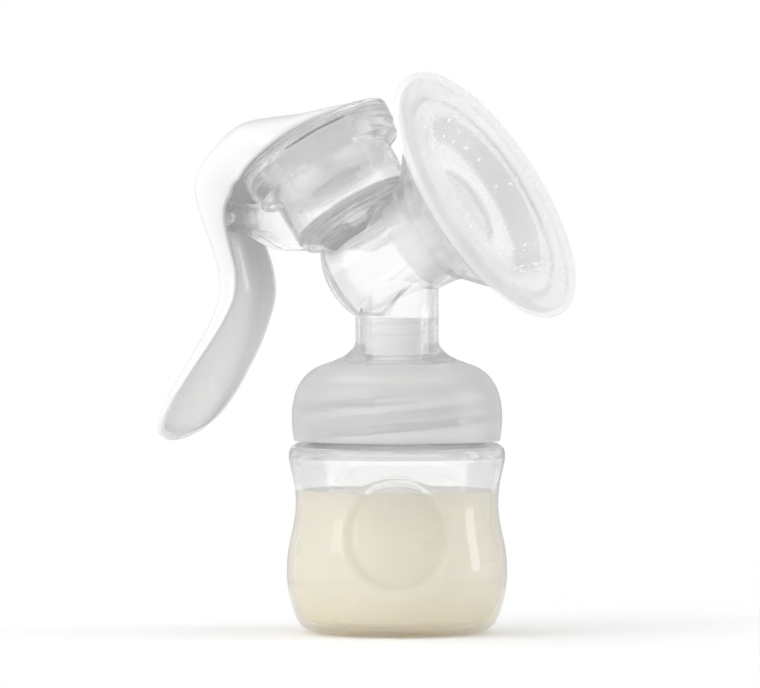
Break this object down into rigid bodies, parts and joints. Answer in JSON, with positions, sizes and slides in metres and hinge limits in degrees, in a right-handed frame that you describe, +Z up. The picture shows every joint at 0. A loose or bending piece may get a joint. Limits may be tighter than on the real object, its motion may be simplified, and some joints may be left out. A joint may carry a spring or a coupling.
{
  "type": "manual breast pump",
  "caption": "Manual breast pump on its feeding bottle: tilted soft-lined funnel, clear vacuum chamber and a squeeze lever, over a screw collar.",
  "frame": {"origin": "centre of the bottle's flat base, on the table", "axes": "+Z up along the bottle's axis, +X towards the side that the funnel leans to, and Y = 0 is the plane of symmetry; the lever hangs on the -X side"},
  "size_m": [0.1335, 0.088, 0.1755],
  "materials": {
    "clear_bottle": "clear, glossy moulding",
    "milk": "cream liquid",
    "clear_body": "clear above, frosted on the collar",
    "white_silicone": "satin",
    "clear_silicone": "translucent satin",
    "diaphragm_silicone": "translucent, smooth",
    "stem_plastic": "smooth white",
    "white_plastic": "glossy white"
  },
  "bodies": {
    "bottle": {"bottle": "clear_bottle"},
    "milk": {"milk": "milk"},
    "pump_head": {"pump_body": "clear_body", "diaphragm": "diaphragm_silicone"},
    "cushion": {"cushion": "clear_silicone"},
    "valve": {"valve": "white_silicone"},
    "stem": {"stem": "stem_plastic"},
    "handle": {"handle": "white_plastic"}
  },
  "joints": [
    {"name": "head_unscrew", "type": "hinge", "parent": "bottle", "child": "milk", "pos_m": [0, 0, 0], "axis": [0, 0, 1], "range_deg": [0, 180]},
    {"name": "head_lift", "type": "slide", "parent": "milk", "child": "pump_head", "axis": [0, 0, 1], "range_m": [0, 0.0085]},
    {"name": "handle_squeeze", "type": "hinge", "parent": "pump_head", "child": "handle", "pos_m": [-0.0565, 0, 0.13], "axis": [0, -1, 0], "range_deg": [0, 15], "stiffness_Nm_per_rad": 1.5, "springref_deg": -4.58},
    {"name": "stem_pull", "type": "slide", "parent": "pump_head", "child": "stem", "axis": [-0.5446, 0, 0.8387], "range_m": [0, 0.01], "deforming": ["diaphragm"]},
    {"name": "cushion_pull", "type": "slide", "parent": "pump_head", "child": "cushion", "axis": [0.8616, 0, 0.5075], "range_m": [0, 0.03]},
    {"name": "valve_pull", "type": "slide", "parent": "pump_head", "child": "valve", "axis": [0, 0, -1], "range_m": [0, 0.02]}
  ],
  "couplings": [
    {"joint": "head_lift", "follows": "head_unscrew", "m_per_rad": 0.0027056},
    {"joint": "stem_pull", "follows": "handle_squeeze", "m_per_rad": 0.03586}
  ]
}
